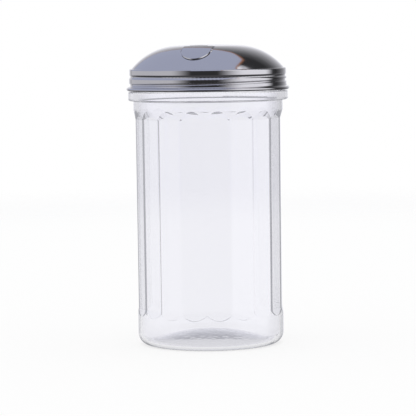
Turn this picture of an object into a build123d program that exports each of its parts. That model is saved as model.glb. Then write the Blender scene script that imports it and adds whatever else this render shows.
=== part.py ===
from build123d import *
from math import acos, asin, atan2, cos, degrees, hypot, pi, radians, sin, sqrt
import os

# Sugar dispenser with a pouring flap: a fluted clear jar, a screw-on lid pressed from
# sheet steel, a small flap over the pouring hole, and the wire pin that the flap turns on.
# Millimetres, +Z up, origin at the middle of the standing ring, flap towards -Y.

# ---------------------------------------------------------------- driving dimensions

# jar: foot and body
body_radius = 35.6  # plain band round the foot, outside
body_wall = 1.8  # the same all round: the inside follows the flutes
heel_round = 5.6  # rounding between the foot and the band
ring_width = 1.4  # flat ring that the jar stands on
punt_depth = 5.0  # how far the floor is pushed up in the middle
floor_thickness = 1.8

# jar: flutes
flute_count = 18
flute_turn = -0.8  # degrees from the +X axis to a ridge, with the lid tight
flute_depth = 0.75  # middle of a facet under the plain band
flute_draft = 0.2  # how much wider the facets stand at their upper end
flute_foot = 18.2  # full depth starts at this height
flute_length = 92.1
flute_run_out = 3.6  # height over which a facet fades into the band below
ridge_round = 3.0  # rounding of the ridges between the facets

# jar: neck, support ring and finish
shoulder_height = 4.4  # from the flutes' upper end to the neck
neck_step = 0.8  # neck outside the plain band
neck_height = 4.5
neck_round = 2.0  # rounding at both ends of the shoulder
support_step = 2.5  # ring under the lid, outside the neck
support_height = 4.4
support_round = 0.7
finish_step = 0.7  # root of the thread inside the neck
finish_round = 0.4  # rounding where the finish and the neck meet the ring
rim_round = 0.6

# screw thread, right-handed
thread_pitch = 4.233
thread_round = 1.2  # section of the jar's thread
thread_height = 1.4  # crest above the root
thread_turns = 1.0
thread_engagement = 2.2  # jar's thread above the lid's rolled groove
thread_clear = 0.25  # from the thread's crest out to the lid's rolled groove

# lid: skirt, heights counted up from the rolled edge's underside
sheet = 0.4  # steel sheet of the lid and the flap
lid_gap = 0.35  # from the support ring up to the rolled edge
curl_radius = 0.85  # outside of the rolled edge
curl_wrap = 280.0  # degrees of roll
flange_step = 1.35  # rolled edge outside the skirt
flare_round = 0.8  # between the skirt and the rolled edge
skirt_height = 6.05
skirt_round = 0.8
ring_groove_depth = 0.7
ring_groove_rise = 0.8  # from the skirt's top to the bottom of the ring groove
ring_groove_round = 0.5
bead_rise = 0.9  # from the bottom of the ring groove to the shoulder bead
bead_inset = 0.2  # bead inside the skirt
bead_height = 2.9
bead_round = 0.6
ledge = 1.05  # on top of the bead, out from the foot of the dome
groove_depth = 0.6  # rolled helical groove
groove_round = 0.8
groove_turns = 0.95
groove_start = 180.0  # degrees round from the +X axis
groove_height = 2.6  # middle of the groove where it starts

# lid: dome
dome_height = 11.5
crown_radius = 250.0
knuckle_radius = 29.9
rim_seat = 0.1  # between the jar's rim and the inside of the dome

# pouring hole and flap
flap_half_width = 7.1
flap_margin = 4.35  # from the flap's tip out to the foot of the dome
flap_straight = 6.05  # straight sides behind the round tip
flap_lift = 0.25  # under the flap where it lies over the dome
flap_lap = 1.1  # round tip over the edge of the hole
hole_side_gap = 0.4  # between the flap's ears and the lid's lugs
tongue_half_width = 4.2  # rolled tongue at the back of the flap
tongue_end = -20.0  # degrees under the horizontal where the tongue stops

# hinge
hinge_depth = 1.75  # pin's middle under the dome's surface
hinge_back = 2.0  # from the pin's middle to the back edge of the hole
pin_radius = 0.6
pin_head_radius = 0.85
pin_head = 0.4
ear_radius = 1.4
ear_reach = 3.2  # how far an ear runs forward along the flap
bore_fit = 0.05  # between the pin and the flap's ears
lug_fit = 0.03  # between the pin and the lid's lugs
head_fit = 0.05  # between a head and its lug

# ---------------------------------------------------------------- worked-out places

bore_radius = body_radius - body_wall
ring_outer = body_radius - heel_round
ring_inner = ring_outer - ring_width
facet_low = body_radius - flute_depth
facet_high = facet_low + flute_draft
flute_head = flute_foot + flute_length
neck_radius = body_radius + neck_step
neck_foot = flute_head + shoulder_height
support_radius = neck_radius + support_step
support_foot = neck_foot + neck_height
support_top = support_foot + support_height
finish_radius = neck_radius - finish_step

lid_base = support_top + lid_gap
skirt_radius = finish_radius + thread_height + thread_clear + groove_depth + sheet
skirt_top = lid_base + skirt_height
curl_height = lid_base + curl_radius
curl_middle = skirt_radius + flange_step - curl_radius
ring_groove_radius = skirt_radius - ring_groove_depth
ring_groove_z = skirt_top + ring_groove_rise
bead_radius = skirt_radius - bead_inset
bead_foot = ring_groove_z + bead_rise

# The dome is a wide crown arc and a tighter knuckle arc, tangent to each other. The
# knuckle's centre is a knuckle radius from the foot and on the crown's own radius.
foot_radius = bead_radius - ledge
foot_height = bead_foot + bead_height
apex = foot_height + dome_height
crown_centre = apex - crown_radius
foot_distance = hypot(foot_radius, foot_height - crown_centre)
arc_gap = crown_radius - knuckle_radius
foot_angle = atan2(foot_radius, foot_height - crown_centre)
join_angle = foot_angle - acos(
    (arc_gap**2 + foot_distance**2 - knuckle_radius**2) / (2 * arc_gap * foot_distance)
)
knuckle_r = arc_gap * sin(join_angle)
knuckle_z = crown_centre + arc_gap * cos(join_angle)
knuckle_end = atan2(foot_radius - knuckle_r, foot_height - knuckle_z)


def dome_z(r, depth=0.0):
    """Height of the dome at radius r, depth under its surface."""
    crown = crown_radius - depth
    if r < crown * sin(join_angle):
        return crown_centre + sqrt(crown**2 - r**2)
    return knuckle_z + sqrt((knuckle_radius - depth) ** 2 - (r - knuckle_r) ** 2)


def dome_lean(r):
    """Angle of the dome's surface from level at radius r."""
    if r < crown_radius * sin(join_angle):
        return asin(r / crown_radius)
    return asin((r - knuckle_r) / knuckle_radius)


def knuckle_point(distance, angle):
    """Point at a distance from the knuckle's centre, angle from straight up."""
    return (knuckle_r + distance * sin(angle), knuckle_z + distance * cos(angle))


def dome_arcs(lift):
    """Crown and knuckle arcs, lift above the dome's surface, from the axis outwards.

    The knuckle is the same circle as a three-point rational curve, because its whole
    circle would cross the axis that it is revolved about.
    """
    crown = crown_radius + lift
    knuckle = knuckle_radius + lift
    half = (knuckle_end - join_angle) / 2
    start = (0, crown_centre + crown)
    join = knuckle_point(knuckle, join_angle)
    handle = knuckle_point(knuckle / cos(half), join_angle + half)
    stop = knuckle_point(knuckle, knuckle_end)
    RadiusArc(start, join, crown)
    Bezier(join, handle, stop, weights=[1, cos(half), 1])
    return start, stop


# The jar's rim comes up to the inside of the dome, a seat's gap short of it.
rim_middle_r = finish_radius - rim_round
rim_reach = knuckle_radius - sheet - rim_seat - rim_round
rim_height = rim_round + knuckle_z + sqrt(rim_reach**2 - (rim_middle_r - knuckle_r) ** 2)

# The flap's places are distances from the lid's axis towards -Y. The pin lies under the
# dome, on the normal through the station where the flap starts to roll round it.
flap_tip_centre = foot_radius - flap_margin - flap_half_width
hinge_station = flap_tip_centre - flap_straight
hinge_lean = dome_lean(hinge_station)
hinge_s = hinge_station - hinge_depth * sin(hinge_lean)
hinge_z = dome_z(hinge_station) - hinge_depth * cos(hinge_lean)
roll_inner = hinge_depth + flap_lift
roll_outer = roll_inner + sheet
lug_inner = flap_half_width + hole_side_gap
lug_outer = lug_inner + sheet
lug_mid = lug_inner + sheet / 2
ear_inner = flap_half_width - sheet
ear_mid = flap_half_width - sheet / 2
head_inner = lug_outer + head_fit
head_outer = head_inner + pin_head
hole_back = hinge_s - hinge_back
hole_half_width = flap_half_width - flap_lap

clear = 10.0  # how far cutting tools overrun
band_clear = 1.0  # how far the facets' flare runs on outside the plain band

# ---------------------------------------------------------------- jar

def fluted_drum(inset):
    """The jar's facets, drawn in by inset, on a drum that leaves the rest of the jar free.

    A prism with rounded ridges leans out with the draft. It flares out over the run-out
    below and the shoulder above, and wider plain drums carry on from its ends.
    """
    draft = degrees(atan2(flute_draft, flute_length))
    foot_flare = degrees(atan2(flute_depth, flute_run_out))
    head_flare = degrees(atan2(neck_radius - facet_high, shoulder_height))
    drum_foot = flute_foot - flute_run_out * (1 + band_clear / flute_depth)
    with BuildPart() as drum:
        with BuildSketch(Plane.XY.offset(flute_foot)) as facets:
            RegularPolygon(
                facet_low - inset, flute_count, major_radius=False, rotation=flute_turn
            )
            if ridge_round > inset:
                fillet(facets.vertices(), ridge_round - inset)
        extrude(amount=flute_length, taper=-draft)
        head, foot = drum.faces().sort_by(Axis.Z)[-1], drum.faces().sort_by(Axis.Z)[0]
        extrude(head, amount=shoulder_height, taper=-head_flare)
        extrude(foot, amount=flute_foot - drum_foot, taper=-foot_flare)
        with BuildSketch(Plane.XY.offset(neck_foot)):
            Circle(neck_radius + clear)
        extrude(amount=apex - neck_foot)
        with BuildSketch(Plane.XY.offset(drum_foot)):
            Circle(neck_radius + clear)
        extrude(amount=-drum_foot - clear)
    return drum.part


# Thread: a round section wound up the finish, with rounded ends.
thread_path_radius = finish_radius + thread_height - thread_round

with BuildPart() as thread:
    with BuildLine() as thread_path:
        Helix(thread_pitch, thread_pitch * thread_turns, thread_path_radius)
    with BuildSketch(Plane(thread_path.line @ 0, (1, 0, 0), thread_path.line % 0)):
        Circle(thread_round)
    sweep(path=thread_path.line, is_frenet=True)
    with Locations(thread_path.line @ 0, thread_path.line @ 1):
        Sphere(thread_round)

# Inside of the jar, up through the rim.
with BuildPart() as cavity:
    with BuildSketch(Plane.XZ):
        with BuildLine():
            TangentArc(
                (0, punt_depth + floor_thickness), (ring_inner, floor_thickness), tangent=(1, 0)
            )
            Line((ring_inner, floor_thickness), (ring_outer, floor_thickness))
            TangentArc(
                (ring_outer, floor_thickness), (bore_radius, heel_round), tangent=(1, 0)
            )
            Line((bore_radius, heel_round), (bore_radius, rim_height - rim_round))
            TangentArc(
                (bore_radius, rim_height - rim_round),
                (bore_radius + rim_round, rim_height),
                tangent=(0, 1),
            )
            Polyline(
                (bore_radius + rim_round, rim_height),
                (bore_radius + rim_round, apex),
                (0, apex),
                (0, punt_depth + floor_thickness),
            )
        make_face()
    revolve(axis=Axis.Z)
    add(fluted_drum(body_wall), mode=Mode.INTERSECT)

with BuildPart() as jar:
    with BuildSketch(Plane.XZ):
        with BuildLine():
            TangentArc((0, punt_depth), (ring_inner, 0), tangent=(1, 0))
            Line((ring_inner, 0), (ring_outer, 0))
            TangentArc((ring_outer, 0), (body_radius, heel_round), tangent=(1, 0))
            FilletPolyline(
                (body_radius, heel_round),
                (body_radius, flute_head),
                (neck_radius, neck_foot),
                (neck_radius, support_foot),
                (support_radius, support_foot),
                (support_radius, support_top),
                (finish_radius, support_top),
                (finish_radius, rim_height),
                (0, rim_height),
                radius=[
                    neck_round,
                    neck_round,
                    finish_round,
                    support_round,
                    support_round,
                    finish_round,
                    rim_round,
                ],
            )
            Line((0, rim_height), (0, punt_depth))
        make_face()
    revolve(axis=Axis.Z)
    add(fluted_drum(0), mode=Mode.INTERSECT)
    with Locations((0, 0, lid_base + groove_height + thread_engagement)):
        add(thread.part, rotation=(0, 0, groove_start))
    add(cavity.part, mode=Mode.SUBTRACT)

jar.part.label = "jar"

# ---------------------------------------------------------------- lid

groove_path_radius = skirt_radius + groove_round - groove_depth
groove_rise = thread_pitch * groove_turns
overrun_turns = (groove_round + sheet) / (2 * pi * groove_path_radius)

# What the rolled groove takes from the outside of the skirt.
with BuildPart() as groove_cutter:
    with BuildLine() as groove_path:
        Helix(thread_pitch, groove_rise, groove_path_radius)
    with BuildSketch(Plane(groove_path.line @ 0, (1, 0, 0), groove_path.line % 0)):
        Circle(groove_round)
    sweep(path=groove_path.line, is_frenet=True)
    with Locations(groove_path.line @ 0):
        Sphere(groove_round)

# What it pushes in on the inside: a ridge one sheet thicker and a little longer.
ridge_turns = groove_turns + 2 * overrun_turns
ridge_cut = groove_round - groove_depth + sheet / 2
ridge_reach = groove_round + sheet

with BuildPart() as ridge:
    with BuildLine() as ridge_path:
        Helix(thread_pitch, thread_pitch * ridge_turns, groove_path_radius)
    with BuildSketch(Plane(ridge_path.line @ 0, (1, 0, 0), ridge_path.line % 0)):
        Circle(ridge_reach)
        with Locations((-ridge_cut - ridge_reach, 0)):
            Rectangle(2 * ridge_reach, 2 * ridge_reach, mode=Mode.INTERSECT)
    sweep(path=ridge_path.line, is_frenet=True)

flare_gap = flare_round + curl_radius
flare_r = skirt_radius + flare_round
flare_z = curl_height + sqrt(flare_gap**2 - (curl_middle - flare_r) ** 2)
curl_start = degrees(atan2(flare_z - curl_height, flare_r - curl_middle))

with BuildPart() as lid:
    with BuildSketch(Plane.XZ):
        with BuildLine():
            top, foot = dome_arcs(0)
            under_top, under_foot = dome_arcs(-sheet)
            Line(top, under_top)
            Polyline(foot, (foot_radius, foot_height - sheet), under_foot)
        make_face()
        with BuildLine():
            FilletPolyline(
                foot,
                (bead_radius, foot_height),
                (bead_radius, bead_foot),
                (ring_groove_radius, ring_groove_z),
                (skirt_radius, skirt_top),
                (skirt_radius, flare_z),
                radius=[bead_round, skirt_round, ring_groove_round, skirt_round],
            )
            CenterArc((flare_r, flare_z), flare_round, 180, curl_start)
            CenterArc((curl_middle, curl_height), curl_radius, curl_start, -curl_wrap)
            offset(amount=sheet, side=Side.RIGHT)
        make_face()
    revolve(axis=Axis.Z)
    # rolled groove
    ridge_turn = groove_start - 360 * overrun_turns
    with Locations((0, 0, lid_base + groove_height - thread_pitch * overrun_turns)):
        add(ridge.part, rotation=(0, 0, ridge_turn))
    with Locations((0, 0, lid_base + groove_height)):
        add(groove_cutter.part, rotation=(0, 0, groove_start), mode=Mode.SUBTRACT)
    # pouring hole: a round-ended slot under the flap, wider where the ears go through
    with BuildSketch(Plane.XY.offset(foot_height)):
        with Locations((0, -flap_tip_centre)):
            Circle(hole_half_width)
        with Locations((0, -(hole_back + flap_tip_centre) / 2)):
            Rectangle(2 * lug_mid, flap_tip_centre - hole_back)
    extrude(amount=dome_height + clear, mode=Mode.SUBTRACT)
    # two lugs turned down from the sheet at the sides of the hole
    with BuildSketch(Plane.YZ.offset(lug_inner)):
        with Locations((-hinge_s, hinge_z)):
            Circle(ear_radius)
        with BuildLine():
            Polyline(
                (-hinge_s - ear_radius, hinge_z),
                (-hinge_s + ear_radius, hinge_z),
                *[
                    (-s, dome_z(hypot(s, lug_mid), sheet / 2))
                    for s in (hinge_s - ear_radius, hinge_s + ear_radius)
                ],
                close=True,
            )
        make_face()
        with Locations((-hinge_s, hinge_z)):
            Circle(pin_radius + lug_fit, mode=Mode.SUBTRACT)
    lugs = extrude(amount=sheet)
    mirror(lugs, about=Plane.YZ)

lid.part.label = "lid"

# ---------------------------------------------------------------- flap

with BuildPart() as flap:
    # plate: dished like the dome that it covers, and cut to a round-tipped outline
    with BuildSketch(Plane.XZ):
        with BuildLine():
            top, foot = dome_arcs(flap_lift + sheet)
            under_top, under_foot = dome_arcs(flap_lift)
            Line(top, under_top)
            Line(foot, under_foot)
        make_face()
    revolve(axis=Axis.Z)
    with BuildSketch(Plane.XY.offset(foot_height)):
        with Locations((0, -flap_tip_centre)):
            Circle(flap_half_width)
        with Locations((0, -(hinge_station + flap_tip_centre) / 2)):
            Rectangle(2 * flap_half_width, flap_tip_centre - hinge_station)
    extrude(amount=dome_height + clear, mode=Mode.INTERSECT)
    # tongue: rolled down behind the pin, about the pin's own axis
    with BuildSketch(Plane.YZ.offset(-tongue_half_width)):
        with Locations((-hinge_s, hinge_z)):
            Circle(roll_outer)
            Circle(roll_inner, mode=Mode.SUBTRACT)
        roll_start = pi / 2 + hinge_lean
        with BuildLine():
            Polyline(
                (-hinge_s, hinge_z),
                *[
                    (
                        -hinge_s + 2 * roll_outer * cos(turn),
                        hinge_z + 2 * roll_outer * sin(turn),
                    )
                    for turn in (roll_start, roll_start / 2, radians(tongue_end))
                ],
                close=True,
            )
        make_face(mode=Mode.INTERSECT)
    extrude(amount=2 * tongue_half_width)
    # ears: turned down at the sides of the plate, with the pin through them
    with BuildSketch(Plane.YZ.offset(ear_inner)):
        with Locations((-hinge_s, hinge_z)):
            Circle(ear_radius)
        with BuildLine():
            Polyline(
                (-hinge_s + ear_radius, hinge_z),
                *[
                    (-s, dome_z(hypot(s, ear_mid), -flap_lift - sheet / 2))
                    for s in (hinge_station, hinge_station + ear_reach)
                ],
                (-hinge_s - ear_radius, hinge_z),
                close=True,
            )
        make_face()
        with Locations((-hinge_s, hinge_z)):
            Circle(pin_radius + bore_fit, mode=Mode.SUBTRACT)
    ears = extrude(amount=sheet)
    mirror(ears, about=Plane.YZ)

flap.part.label = "flap"

# ---------------------------------------------------------------- hinge pin

with BuildPart() as hinge_pin:
    with BuildSketch(Plane.YZ.offset(-head_outer)):
        with Locations((-hinge_s, hinge_z)):
            Circle(pin_radius)
    extrude(amount=2 * head_outer)
    for side in (-head_outer, head_inner):
        with BuildSketch(Plane.YZ.offset(side)):
            with Locations((-hinge_s, hinge_z)):
                Circle(pin_head_radius)
        extrude(amount=pin_head)

hinge_pin.part.label = "hinge_pin"

# ---------------------------------------------------------------- files

os.makedirs("parts", exist_ok=True)
export_step(jar.part, "parts/jar.step")
export_step(lid.part, "parts/lid.step")
export_step(flap.part, "parts/flap.step")
export_step(hinge_pin.part, "parts/hinge_pin.step")

print("rim height", round(rim_height, 3), "apex", round(apex, 3))
print("hinge axis y, z", round(-hinge_s, 3), round(hinge_z, 3))
print("hole back", round(-hole_back, 3), "join angle", round(join_angle, 4))
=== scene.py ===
from math import cos, pi, radians, sin

import bpy
from bpy.props import FloatProperty, FloatVectorProperty, IntProperty, PointerProperty
from mathutils import Matrix, Vector

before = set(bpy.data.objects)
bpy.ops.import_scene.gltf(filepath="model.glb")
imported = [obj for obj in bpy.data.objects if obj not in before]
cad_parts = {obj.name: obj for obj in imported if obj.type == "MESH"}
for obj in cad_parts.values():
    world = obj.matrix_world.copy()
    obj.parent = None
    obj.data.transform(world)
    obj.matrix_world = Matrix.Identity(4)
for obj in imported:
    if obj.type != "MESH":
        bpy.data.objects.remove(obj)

bl_info = {
    "name": "Sugar Dispenser",
    "version": (1, 0, 0),
    "blender": (4, 5, 0),
    "location": "View3D > Sidebar > Dispenser",
    "description": "Finishes of a fluted sugar dispenser with a steel lid, on a pale floor",
    "category": "Object",
}

MM = 0.001

EDGE_FADE = 1 * MM  # half width of the change from the jar's floor to its wall
SHADE_FADE = 4 * MM  # half width of the change round the painted shadow under the jar on the floor

# The studio is written as angles in degrees with the brightness found there.
BACKDROP = ((6, 0.95), (12, 0.86), (20, 0.6), (30, 0.4), (42, 0.2), (50, 0.1))
THROUGH = ((9, 1), (18, 0.87), (30, 0.78), (60, 0.72))
INSIDE = ((9, 1), (18, 0.87), (30, 0.75), (60, 0.6), (95, 0.3), (130, 0.05))
BACKDROP_END = (0.035, 0.035, 0.035, 1)
THROUGH_END = (0.86, 0.86, 0.88, 1)
INSIDE_END = (0.04, 0.04, 0.045, 1)
COOL = 1.03  # how much bluer what shows through the jar is
STUDIO_COOL = 1.06  # how much bluer what the steel mirrors is
WALL_EDGES = ((-158.0, -146.0), (-18.0, -58.0))
WALL_LEVEL = 0.58
BOX_EDGES = ((8.0, 58.0), (114.0, 92.0))
BOX_LEVEL = 0.92
BELOW_EDGE = (-0.05, -0.4)
BELOW_LEVEL = 0.07

# The ceiling panel is measured in its own plane, at a height of 1 over the dispenser.
PANEL_RIGHT = (0.46, 0.42)
PANEL_FAR = (1.30, 1.20)
PANEL_NEAR = (-1.9, -1.3)
PANEL_SLANT = 1.8
PANEL_RIM = 0.03
PANEL_HORIZON = 0.002
LEAST_RISE = 0.001  # keeps the division by height off zero
PANEL_COLOUR = (0.42, 0.45, 0.58, 1)
PANEL_RIM_COLOUR = "#A06A40"

# Two walls have four surfaces, and the world counts one bounce more.
STRAIGHT_THROUGH = 5.5


def linear(code, alpha=1.0):
    """Linear colour of an sRGB hex code."""
    parts = [int(code[i : i + 2], 16) / 255 for i in (1, 3, 5)]
    return (*(p / 12.92 if p <= 0.04045 else ((p + 0.055) / 1.055) ** 2.4 for p in parts), alpha)


def add_node(tree, kind, inputs=None, **settings):
    """Add a node with its own settings, and with a value or a link for each named input."""
    node = tree.nodes.new(kind)
    for name, value in settings.items():
        setattr(node, name, value)
    for name, value in (inputs or {}).items():
        if isinstance(value, bpy.types.NodeSocket):
            tree.links.new(value, node.inputs[name])
        else:
            node.inputs[name].default_value = value
    return node


def new_material(name):
    """An empty node material."""
    material = bpy.data.materials.new(name)
    material.use_nodes = True
    material.node_tree.nodes.clear()
    return material


def clothe(node_name, material):
    """Give a CAD node its only material."""
    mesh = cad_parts[node_name].data
    mesh.materials.clear()
    mesh.materials.append(material)


# ---------------------------------------------------------------- settings


class DispenserJarSettings(bpy.types.PropertyGroup):
    """Clear plastic of the jar"""

    tint: FloatVectorProperty(
        name="Tint",
        description="Colour that the plastic gives to what is seen through it",
        subtype="COLOR",
        min=0,
        max=1,
        default=linear("#FBFBFE")[:3],
    )
    ior: FloatProperty(
        name="IOR", description="Refractive index of the plastic", min=1, max=2, default=1.57
    )
    flow_width: FloatProperty(
        name="Flow Width",
        description="Width of the faint upright streaks left by moulding",
        subtype="DISTANCE",
        unit="LENGTH",
        default=4 * MM,
    )
    flow_depth: FloatProperty(
        name="Flow Depth",
        description="Depth of the streaks",
        subtype="DISTANCE",
        unit="LENGTH",
        default=0.05 * MM,
    )
    floor_edge: FloatProperty(
        name="Floor Edge",
        description="Radius of the pushed-up floor",
        subtype="DISTANCE",
        unit="LENGTH",
        default=28.6 * MM,
    )
    # painted glow: strength and colour of an emission that stands in for light caught inside the
    # plastic, in the wall and in the floor
    painted_wall_glow: FloatProperty(
        name="Wall Light",
        description="Brightness of light caught inside the wall",
        min=0,
        max=1,
        default=0.45,
    )
    painted_floor_glow: FloatProperty(
        name="Floor Light",
        description="Brightness of light caught inside the floor",
        min=0,
        max=1,
        default=0.8,
    )
    painted_glow_colour: FloatVectorProperty(
        name="Light Colour",
        description="Colour of light caught inside the plastic",
        subtype="COLOR",
        min=0,
        max=1,
        default=linear("#F7F8FF")[:3],
    )
    painted_glow_after: IntProperty(
        name="Caught After",
        description="Bounces after which light counts as caught inside the plastic",
        min=1,
        default=5,
    )


class DispenserSteelSettings(bpy.types.PropertyGroup):
    """Steel of the lid, the flap and the hinge pin"""

    colour: FloatVectorProperty(
        name="Colour",
        description="Colour of the polished sheet",
        subtype="COLOR",
        min=0,
        max=1,
        default=linear("#DDDCDE")[:3],
    )
    roughness: FloatProperty(
        name="Roughness", description="Blur of the sheet's polish", min=0, max=1, default=0.09
    )


class DispenserStageSettings(bpy.types.PropertyGroup):
    """Camera, floor and studio round the dispenser"""

    view_azimuth: FloatProperty(
        name="View Azimuth",
        description="How far the camera stands round from the flap",
        subtype="ANGLE",
        unit="ROTATION",
        default=radians(12.2),
    )
    view_pitch: FloatProperty(
        name="View Pitch",
        description="How far the camera looks down",
        subtype="ANGLE",
        unit="ROTATION",
        default=radians(4.45),
    )
    view_roll: FloatProperty(
        name="View Roll",
        description="How far the camera leans over to its right",
        subtype="ANGLE",
        unit="ROTATION",
        default=radians(0.76),
    )
    view_distance: FloatProperty(
        name="View Distance",
        description="From the camera to the jar's axis",
        subtype="DISTANCE",
        unit="LENGTH",
        default=1183.26 * MM,
    )
    view_height: FloatProperty(
        name="View Height",
        description="Height on the jar's axis that the camera looks at",
        subtype="DISTANCE",
        unit="LENGTH",
        default=66.25 * MM,
    )
    view_aside: FloatProperty(
        name="View Aside",
        description="How far left of the jar's axis the camera looks",
        subtype="DISTANCE",
        unit="LENGTH",
        default=0.71 * MM,
    )
    lens: FloatProperty(name="Lens", description="Focal length in millimetres", default=209.4)
    floor_radius: FloatProperty(
        name="Floor Radius",
        description="Radius of the pale floor",
        subtype="DISTANCE",
        unit="LENGTH",
        default=1200 * MM,
    )
    floor_white: FloatProperty(
        name="Floor White",
        description="Share of plain white in the floor as the camera sees it",
        min=0,
        max=1,
        default=0.85,
    )
    # painted shadow: a disc of floor under the jar whose white glow is dimmed, seen by the camera
    # and through the jar
    foot_radius: FloatProperty(
        name="Foot Radius",
        description="Radius of the floor that the jar keeps in its shade",
        subtype="DISTANCE",
        unit="LENGTH",
        default=32 * MM,
    )
    painted_foot_shade: FloatProperty(
        name="Foot Shade",
        description="Brightness of the floor under the jar, seen through it",
        min=0,
        max=1,
        default=0.8,
    )


# ---------------------------------------------------------------- pieces


class DISPENSER_OT_jar(bpy.types.Operator):
    """Give the jar its clear moulded plastic"""

    bl_idname = "dispenser.jar"
    bl_label = "Finish Jar"

    def execute(self, context):
        settings = context.scene.dispenser_jar
        # Clear SAN plastic, injection moulded. It bends light a little more than glass
        # does, and the melt's flow leaves long shallow streaks up the wall. Light that
        # bounces on and on inside the wall leaves blue-grey lines along the ridges, and
        # the floor catches more of it. Past a set bounce depth the plastic shows a painted
        # glow instead: an emission that stands in for this caught light, brighter in the floor.
        material = new_material("Clear SAN plastic, moulded")
        tree = material.node_tree
        place = add_node(tree, "ShaderNodeTexCoord").outputs["Object"]
        stretched = add_node(
            tree, "ShaderNodeMapping", {"Vector": place, "Scale": (1, 1, 0.05)}
        ).outputs[0]
        streaks = add_node(
            tree,
            "ShaderNodeTexNoise",
            {"Vector": stretched, "Scale": 1 / settings.flow_width, "Detail": 2.0},
        ).outputs["Fac"]
        bump = add_node(
            tree,
            "ShaderNodeBump",
            {"Height": streaks, "Strength": 1.0, "Distance": settings.flow_depth},
        ).outputs[0]
        shader = add_node(
            tree,
            "ShaderNodeBsdfPrincipled",
            {
                "Base Color": (*settings.tint, 1),
                "Roughness": 0.0,
                "IOR": settings.ior,
                "Transmission Weight": 1.0,
                "Normal": bump,
            },
        )
        across = add_node(
            tree, "ShaderNodeVectorMath", {0: place, 1: (1, 1, 0)}, operation="MULTIPLY"
        ).outputs[0]
        reach = add_node(
            tree, "ShaderNodeVectorMath", {0: across}, operation="LENGTH"
        ).outputs["Value"]
        brightness = add_node(
            tree,
            "ShaderNodeMapRange",
            {
                "Value": reach,
                "From Min": settings.floor_edge - EDGE_FADE,
                "From Max": settings.floor_edge + EDGE_FADE,
                "To Min": settings.painted_floor_glow,
                "To Max": settings.painted_wall_glow,
            },
        ).outputs[0]
        # painted glow: an emission that stands in for light caught inside the plastic, shown in
        # place of the clear plastic past a set bounce depth
        caught = add_node(
            tree,
            "ShaderNodeEmission",
            {"Color": (*settings.painted_glow_colour, 1), "Strength": brightness},
        ).outputs[0]
        depth = add_node(tree, "ShaderNodeLightPath").outputs["Ray Depth"]
        deep = add_node(
            tree,
            "ShaderNodeMath",
            {0: depth, 1: settings.painted_glow_after},
            operation="GREATER_THAN",
        ).outputs[0]
        surface = add_node(
            tree, "ShaderNodeMixShader", {0: deep, 1: shader.outputs[0], 2: caught}
        ).outputs[0]
        add_node(tree, "ShaderNodeOutputMaterial", {"Surface": surface})
        clothe("jar", material)
        return {"FINISHED"}


class DISPENSER_OT_lid(bpy.types.Operator):
    """Give the lid and the flap their polished steel sheet"""

    bl_idname = "dispenser.lid"
    bl_label = "Finish Lid and Flap"

    def execute(self, context):
        settings = context.scene.dispenser_steel
        # Stainless steel sheet, pressed and polished: a grey mirror, blurred a little.
        material = new_material("Stainless steel, polished")
        tree = material.node_tree
        shader = add_node(
            tree,
            "ShaderNodeBsdfPrincipled",
            {
                "Base Color": (*settings.colour, 1),
                "Metallic": 1.0,
                "Roughness": settings.roughness,
            },
        )
        add_node(tree, "ShaderNodeOutputMaterial", {"Surface": shader.outputs[0]})
        clothe("lid", material)
        clothe("flap", material)
        return {"FINISHED"}


class DISPENSER_OT_hinge_pin(bpy.types.Operator):
    """Give the hinge pin its drawn wire"""

    bl_idname = "dispenser.hinge_pin"
    bl_label = "Finish Hinge Pin"

    def execute(self, context):
        settings = context.scene.dispenser_steel
        # Stainless steel wire, drawn: duller than the sheet.
        material = new_material("Stainless steel wire, drawn")
        tree = material.node_tree
        shader = add_node(
            tree,
            "ShaderNodeBsdfPrincipled",
            {
                "Base Color": (*settings.colour, 1),
                "Metallic": 1.0,
                "Roughness": 2 * settings.roughness,
            },
        )
        add_node(tree, "ShaderNodeOutputMaterial", {"Surface": shader.outputs[0]})
        clothe("hinge_pin", material)
        return {"FINISHED"}


# ---------------------------------------------------------------- stage


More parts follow.
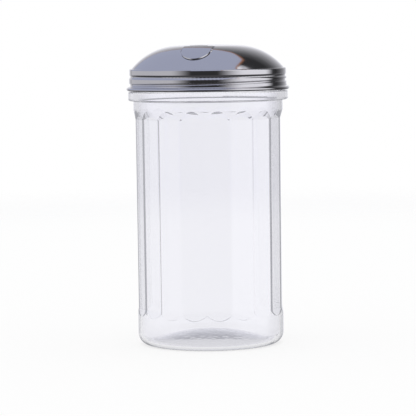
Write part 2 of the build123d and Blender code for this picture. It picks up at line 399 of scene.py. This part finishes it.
class DISPENSER_OT_stage(bpy.types.Operator):
    """Add the pale floor, the studio round it and the camera"""

    bl_idname = "dispenser.stage"
    bl_label = "Add Stage"

    def execute(self, context):
        settings = context.scene.dispenser_stage
        self.add_floor(settings)
        self.light_studio(context.scene, settings)
        self.add_camera(context.scene, settings)
        context.scene.view_settings.view_transform = "Standard"
        return {"FINISHED"}

    def add_floor(self, settings):
        """A round white floor with a painted shadow under the jar, that fades into the white
        backdrop.
        """
        bpy.ops.object.select_all(action="DESELECT")
        bpy.ops.mesh.primitive_circle_add(
            vertices=96, radius=settings.floor_radius, fill_type="NGON", location=(0, 0, 0)
        )
        floor = bpy.context.object
        floor.name = "floor"
        material = new_material("White paper floor")
        tree = material.node_tree
        place = add_node(tree, "ShaderNodeTexCoord").outputs["Object"]
        reach = add_node(
            tree, "ShaderNodeVectorMath", {0: place}, operation="LENGTH"
        ).outputs["Value"]
        paper = add_node(
            tree, "ShaderNodeBsdfDiffuse", {"Color": linear("#FAFAFA")}
        ).outputs[0]
        # painted shadow: the floor's white glow is dimmed in a disc under the jar
        shade = add_node(
            tree,
            "ShaderNodeMapRange",
            {
                "Value": reach,
                "From Min": settings.foot_radius - SHADE_FADE,
                "From Max": settings.foot_radius + SHADE_FADE,
                "To Min": settings.painted_foot_shade,
            },
            interpolation_type="SMOOTHSTEP",
        ).outputs[0]
        glow = add_node(
            tree, "ShaderNodeEmission", {"Color": (1, 1, 1, 1), "Strength": shade}
        ).outputs[0]
        gone = add_node(tree, "ShaderNodeBsdfTransparent").outputs[0]
        path = add_node(tree, "ShaderNodeLightPath").outputs
        seen = add_node(
            tree,
            "ShaderNodeMath",
            {0: path["Is Camera Ray"], 1: settings.floor_white},
            operation="MULTIPLY",
        ).outputs[0]
        white = add_node(
            tree, "ShaderNodeMath", {0: path["Is Transmission Ray"], 1: seen}, operation="MAXIMUM"
        ).outputs[0]
        lit = add_node(tree, "ShaderNodeMixShader", {0: white, 1: paper, 2: glow}).outputs[0]
        far = add_node(
            tree,
            "ShaderNodeMapRange",
            {
                "Value": reach,
                "From Min": settings.floor_radius / 2,
                "From Max": settings.floor_radius * 0.95,
            },
            interpolation_type="SMOOTHSTEP",
        ).outputs[0]
        both = add_node(tree, "ShaderNodeMixShader", {0: far, 1: lit, 2: gone}).outputs[0]
        add_node(tree, "ShaderNodeOutputMaterial", {"Surface": both})
        floor.data.materials.append(material)
        floor.visible_glossy = False

    def light_studio(self, scene, settings):
        """A white world, with a room for the steel to mirror and one that the jar shows."""
        world = bpy.data.worlds.new("Studio")
        world.use_nodes = True
        scene.world = world
        tree = world.node_tree
        tree.nodes.clear()

        direction = add_node(tree, "ShaderNodeTexCoord").outputs["Generated"]
        turned = add_node(
            tree,
            "ShaderNodeMapping",
            {"Vector": direction, "Rotation": (0, 0, -settings.view_azimuth)},
        ).outputs[0]
        split = add_node(tree, "ShaderNodeSeparateXYZ", {0: turned}).outputs
        right, back, up = split["X"], split["Y"], split["Z"]

        # angle round from the front, and angle away from straight behind, in degrees
        front = add_node(
            tree, "ShaderNodeMath", {0: back, 1: -1.0}, operation="MULTIPLY"
        ).outputs[0]
        around = add_node(
            tree, "ShaderNodeMath", {0: right, 1: front}, operation="ARCTAN2"
        ).outputs[0]
        away = add_node(tree, "ShaderNodeMath", {0: back}, operation="ARCCOSINE").outputs[0]
        in_degrees = []
        for angle in (around, away):
            in_degrees.append(
                add_node(
                    tree, "ShaderNodeMath", {0: angle, 1: 180 / pi}, operation="MULTIPLY"
                ).outputs[0]
            )
        azimuth, off_back = in_degrees
        off_front = add_node(
            tree, "ShaderNodeMath", {0: 180.0, 1: off_back}, operation="SUBTRACT"
        ).outputs[0]
        off_axis = add_node(
            tree, "ShaderNodeMath", {0: off_back, 1: off_front}, operation="MINIMUM"
        ).outputs[0]

        # backdrop: bright behind the dispenser, falling off all round
        # through: what shows straight through the jar, a light surround
        # inside: what shows after a reflection inside the wall, the room's dark side too
        fades = []
        for angle, span, levels, end, blue in (
            (off_back, 60.0, BACKDROP, BACKDROP_END, 1.0),
            (off_axis, 90.0, THROUGH, THROUGH_END, COOL),
            (off_back, 180.0, INSIDE, INSIDE_END, COOL),
        ):
            share = add_node(
                tree, "ShaderNodeMath", {0: angle, 1: span}, operation="DIVIDE"
            ).outputs[0]
            fade = add_node(tree, "ShaderNodeValToRGB", {"Fac": share})
            elements = fade.color_ramp.elements
            for place, level in levels:
                elements.new(place / span).color = (level, level, level * blue, 1)
            elements[0].color = (1, 1, 1, 1)
            elements[-1].color = end
            fades.append(fade.outputs[0])
        backdrop, through, inside = fades

        # left wall and right soft box, over the backdrop
        level = backdrop
        for edges, strength in ((WALL_EDGES, WALL_LEVEL), (BOX_EDGES, BOX_LEVEL)):
            lit = strength
            for start, full in edges:
                edge = add_node(
                    tree,
                    "ShaderNodeMapRange",
                    {"Value": azimuth, "From Min": start, "From Max": full},
                    interpolation_type="SMOOTHSTEP",
                ).outputs[0]
                lit = add_node(
                    tree, "ShaderNodeMath", {0: edge, 1: lit}, operation="MULTIPLY"
                ).outputs[0]
            level = add_node(
                tree, "ShaderNodeMath", {0: level, 1: lit}, operation="MAXIMUM"
            ).outputs[0]
        below = add_node(
            tree,
            "ShaderNodeMapRange",
            {"Value": up, "From Min": BELOW_EDGE[0], "From Max": BELOW_EDGE[1]},
            interpolation_type="SMOOTHSTEP",
        ).outputs[0]
        level = add_node(
            tree,
            "ShaderNodeMix",
            {"Factor": below, 2: level, 3: BELOW_LEVEL},
            data_type="FLOAT",
        ).outputs[0]
        blue = add_node(
            tree, "ShaderNodeMath", {0: level, 1: STUDIO_COOL}, operation="MULTIPLY"
        ).outputs[0]
        room = add_node(
            tree, "ShaderNodeCombineColor", {0: level, 1: level, 2: blue}
        ).outputs[0]

        # ceiling: a blue-grey panel overhead with a warm edge
        rise = add_node(
            tree, "ShaderNodeMath", {0: up, 1: LEAST_RISE}, operation="MAXIMUM"
        ).outputs[0]
        flat = []
        for value in (right, back):
            flat.append(
                add_node(
                    tree, "ShaderNodeMath", {0: value, 1: rise}, operation="DIVIDE"
                ).outputs[0]
            )
        flat_x, flat_y = flat
        slant = add_node(
            tree, "ShaderNodeMath", {0: flat_x, 1: PANEL_SLANT}, operation="MULTIPLY"
        ).outputs[0]
        far_side = add_node(
            tree, "ShaderNodeMath", {0: flat_y, 1: slant}, operation="ADD"
        ).outputs[0]
        overhead = add_node(
            tree, "ShaderNodeMath", {0: up, 1: PANEL_HORIZON}, operation="GREATER_THAN"
        ).outputs[0]
        for grow, colour in ((PANEL_RIM, linear(PANEL_RIM_COLOUR)), (0.0, PANEL_COLOUR)):
            panel = overhead
            for value, (start, full), moved in (
                (flat_x, PANEL_RIGHT, grow),
                (far_side, PANEL_FAR, 2 * grow),
                (flat_y, PANEL_NEAR, -grow),
            ):
                edge = add_node(
                    tree,
                    "ShaderNodeMapRange",
                    {"Value": value, "From Min": start + moved, "From Max": full + moved},
                    interpolation_type="SMOOTHSTEP",
                ).outputs[0]
                panel = add_node(
                    tree, "ShaderNodeMath", {0: panel, 1: edge}, operation="MULTIPLY"
                ).outputs[0]
            room = add_node(
                tree,
                "ShaderNodeMix",
                {"Factor": panel, 6: room, 7: colour},
                data_type="RGBA",
            ).outputs[2]

        # the kind of ray picks what it meets
        path = add_node(tree, "ShaderNodeLightPath").outputs
        reflected = add_node(
            tree,
            "ShaderNodeMath",
            {0: path["Ray Depth"], 1: STRAIGHT_THROUGH},
            operation="GREATER_THAN",
        ).outputs[0]
        shown = add_node(
            tree,
            "ShaderNodeMix",
            {"Factor": reflected, 6: through, 7: inside},
            data_type="RGBA",
        ).outputs[2]
        plain = add_node(
            tree,
            "ShaderNodeMath",
            {0: path["Is Camera Ray"], 1: path["Is Diffuse Ray"]},
            operation="MAXIMUM",
        ).outputs[0]
        seen = room
        for kind, picked in ((path["Is Transmission Ray"], shown), (plain, (1, 1, 1, 1))):
            seen = add_node(
                tree,
                "ShaderNodeMix",
                {"Factor": kind, 6: seen, 7: picked},
                data_type="RGBA",
            ).outputs[2]
        light = add_node(tree, "ShaderNodeBackground", {"Color": seen, "Strength": 1.0})
        add_node(tree, "ShaderNodeOutputWorld", {"Surface": light.outputs[0]})

    def add_camera(self, scene, settings):
        """The photograph's view: almost level, from the right of the flap."""
        data = bpy.data.cameras.new("View")
        data.lens = settings.lens
        data.clip_start, data.clip_end = 0.05, 20
        camera = bpy.data.objects.new("View", data)
        scene.collection.objects.link(camera)
        turn, pitch = settings.view_azimuth, settings.view_pitch
        back = Vector((sin(turn) * cos(pitch), -cos(turn) * cos(pitch), sin(pitch)))
        aside = Vector((cos(turn), sin(turn), 0)) * -settings.view_aside
        aim = Vector((0, 0, settings.view_height)) + aside
        facing = (-back).to_track_quat("-Z", "Y").to_matrix().to_4x4()
        roll = Matrix.Rotation(-settings.view_roll, 4, "Z")
        camera.matrix_world = (
            Matrix.Translation(aim + back * settings.view_distance) @ facing @ roll
        )
        scene.camera = camera


# ---------------------------------------------------------------- add-on


class DISPENSER_PT_panel(bpy.types.Panel):
    """Lists the dispenser's pieces"""

    bl_idname = "DISPENSER_PT_panel"
    bl_label = "Sugar Dispenser"
    bl_space_type = "VIEW_3D"
    bl_region_type = "UI"
    bl_category = "Dispenser"

    def draw(self, context):
        for piece in OPERATORS:
            self.layout.operator(piece.bl_idname)


OPERATORS = (
    DISPENSER_OT_jar,
    DISPENSER_OT_lid,
    DISPENSER_OT_hinge_pin,
    DISPENSER_OT_stage,
)
SETTINGS = {
    "dispenser_jar": DispenserJarSettings,
    "dispenser_steel": DispenserSteelSettings,
    "dispenser_stage": DispenserStageSettings,
}
CLASSES = (*SETTINGS.values(), *OPERATORS, DISPENSER_PT_panel)


def register():
    for item in CLASSES:
        bpy.utils.register_class(item)
    for name, group in SETTINGS.items():
        setattr(bpy.types.Scene, name, PointerProperty(type=group))


def unregister():
    for name in SETTINGS:
        delattr(bpy.types.Scene, name)
    for item in reversed(CLASSES):
        bpy.utils.unregister_class(item)


def main():
    """Finish the dispenser on its stage."""
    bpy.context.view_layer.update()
    register()
    bpy.ops.dispenser.jar()
    bpy.ops.dispenser.lid()
    bpy.ops.dispenser.hinge_pin()
    bpy.ops.dispenser.stage()


if __name__ == "__main__":
    main()
